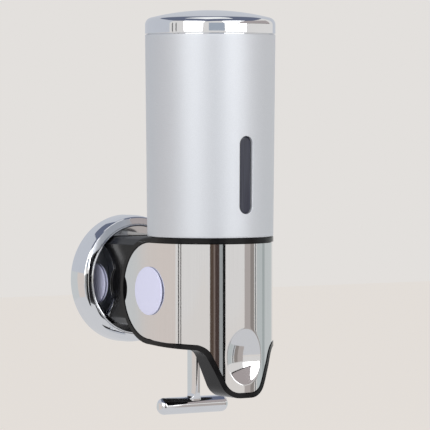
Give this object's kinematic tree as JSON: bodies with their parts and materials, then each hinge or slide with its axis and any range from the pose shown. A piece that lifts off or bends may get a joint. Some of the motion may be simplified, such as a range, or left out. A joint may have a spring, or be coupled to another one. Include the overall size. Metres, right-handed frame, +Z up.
{
  "type": "wall mounted soap dispenser",
  "caption": "Upright silver tube with a chrome cap over a black and polished steel body, held off the wall by a round chrome flange and an arm; a T-shaped handle below works the pump.",
  "frame": {"origin": "centre of the wall face, where the round flange meets the wall", "axes": "+Y into the wall, +Z up along the tube, +X to the right seen from the front; the object stands out towards -Y"},
  "size_m": [0.0722, 0.1226, 0.222],
  "materials": {
    "chrome": "bright chrome plating",
    "polished_steel": "mirror-polished stainless steel",
    "silver_paint": "satin silver paint",
    "black_abs": "gloss black",
    "smoked_pc": "smoked, glossy",
    "lavender_vinyl": "matt pale lavender film",
    "zinc": "bare die-cast zinc",
    "screw_steel": "plain steel",
    "milky_pe": "translucent milky",
    "white_acetal": "off-white moulding",
    "silicone": "clear grey silicone",
    "black_rubber": "matt black"
  },
  "bodies": {
    "root": {"wall_flange": "chrome", "steel_wrap": "polished_steel", "arm_side_plate_left": "polished_steel", "arm_side_plate_right": "polished_steel", "cover_tube": "silver_paint", "arm": "black_abs", "housing": "black_abs", "tray": "black_abs", "window_lens": "smoked_pc", "side_disc_left": "lavender_vinyl", "side_disc_right": "lavender_vinyl", "arm_side_disc_left": "lavender_vinyl", "arm_side_disc_right": "lavender_vinyl", "wall_plate": "zinc", "flange_grub_screw": "screw_steel", "arm_screw_left": "screw_steel", "arm_screw_right": "screw_steel", "housing_screw_upper": "screw_steel", "housing_screw_lower": "screw_steel", "tray_screw_1": "screw_steel", "tray_screw_2": "screw_steel", "tray_screw_3": "screw_steel", "tray_screw_4": "screw_steel", "tube_screw_left": "screw_steel", "tube_screw_right": "screw_steel", "plunger_spring": "screw_steel", "pivot_pin": "screw_steel", "pin_clip_left": "screw_steel", "pin_clip_right": "screw_steel", "bottle": "milky_pe", "pump_barrel": "white_acetal", "inlet_valve": "silicone", "outlet_tube": "silicone", "spout_nozzle": "silicone", "bottle_seal": "black_rubber"},
    "lever": {"t_handle": "chrome", "lever_crank": "black_abs", "handle_screw": "screw_steel"},
    "plunger": {"plunger": "white_acetal", "plunger_seal": "black_rubber"},
    "cap": {"top_cap": "chrome", "cap_seal": "black_rubber"}
  },
  "joints": [
    {"name": "handle_pull", "type": "hinge", "parent": "root", "child": "lever", "pos_m": [0, -0.067, -0.0147], "axis": [-1, 0, 0], "range_deg": [0, 16], "stiffness_Nm_per_rad": 0.32, "springref_deg": -17.19},
    {"name": "plunger_travel", "type": "slide", "parent": "root", "child": "plunger", "axis": [0, 0, 1], "range_m": [0, 0.0057], "deforming": ["plunger_spring"]},
    {"name": "cap_lift", "type": "slide", "parent": "root", "child": "cap", "axis": [0, 0, 1], "range_m": [0, 0.1]}
  ],
  "couplings": [
    {"joint": "plunger_travel", "follows": "handle_pull", "m_per_rad": 0.02013}
  ]
}
